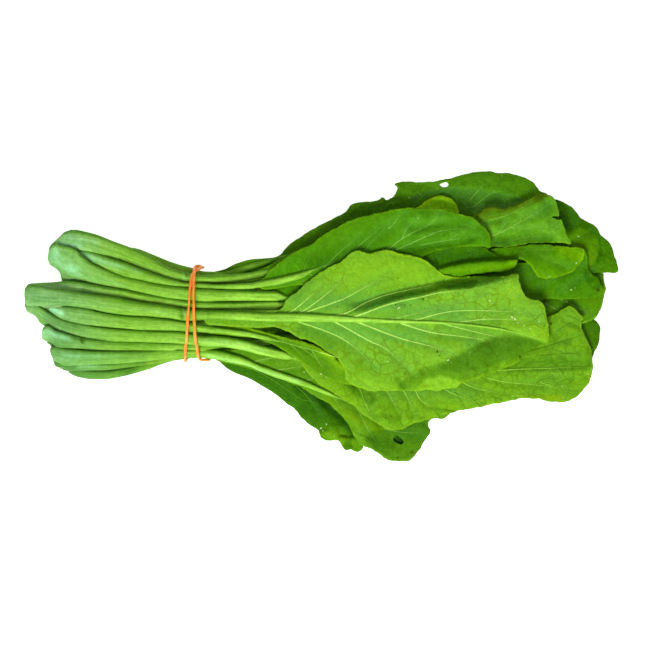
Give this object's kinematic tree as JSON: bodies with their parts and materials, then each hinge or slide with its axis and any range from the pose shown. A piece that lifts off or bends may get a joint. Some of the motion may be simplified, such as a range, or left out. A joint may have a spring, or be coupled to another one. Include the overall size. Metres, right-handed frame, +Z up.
{
  "type": "bunch of mustard greens",
  "caption": "Bunch of mustard greens tied with an orange rubber band, lying on its side with thick pale stalks and broad green leaves.",
  "frame": {"origin": "on the resting surface, under the middle of the bunch's footprint", "axes": "+X along the bunch from the cut crowns to the leaf tips, +Y across it, +Z up"},
  "size_m": [0.3374, 0.1648, 0.0412],
  "materials": {
    "leaf_light": "satin",
    "leaf_mid": "satin",
    "leaf_dark": "satin",
    "crown_flesh": "matte",
    "band_rubber": "satin"
  },
  "bodies": {
    "root": {"leaf_b2": "leaf_light", "leaf_b3": "leaf_mid", "leaf_a2": "leaf_mid", "leaf_b4": "leaf_mid", "leaf_a3": "leaf_dark", "leaf_a1": "leaf_mid", "leaf_b1": "leaf_mid", "leaf_d1": "leaf_mid", "leaf_d2": "leaf_dark", "leaf_b5": "leaf_dark", "leaf_e1": "leaf_dark", "leaf_a1b": "leaf_dark", "leaf_a4": "leaf_dark", "leaf_c1": "leaf_dark", "leaf_e2": "leaf_dark", "leaf_c2": "leaf_dark", "leaf_d3": "leaf_dark", "leaf_e3": "leaf_dark", "leaf_c3": "leaf_dark", "leaf_e4": "leaf_dark", "leaf_d4": "leaf_dark", "crown_a": "crown_flesh", "crown_b": "crown_flesh", "crown_c": "crown_flesh", "crown_d": "crown_flesh", "crown_e": "crown_flesh", "rubber_band": "band_rubber"}
  },
  "joints": []
}
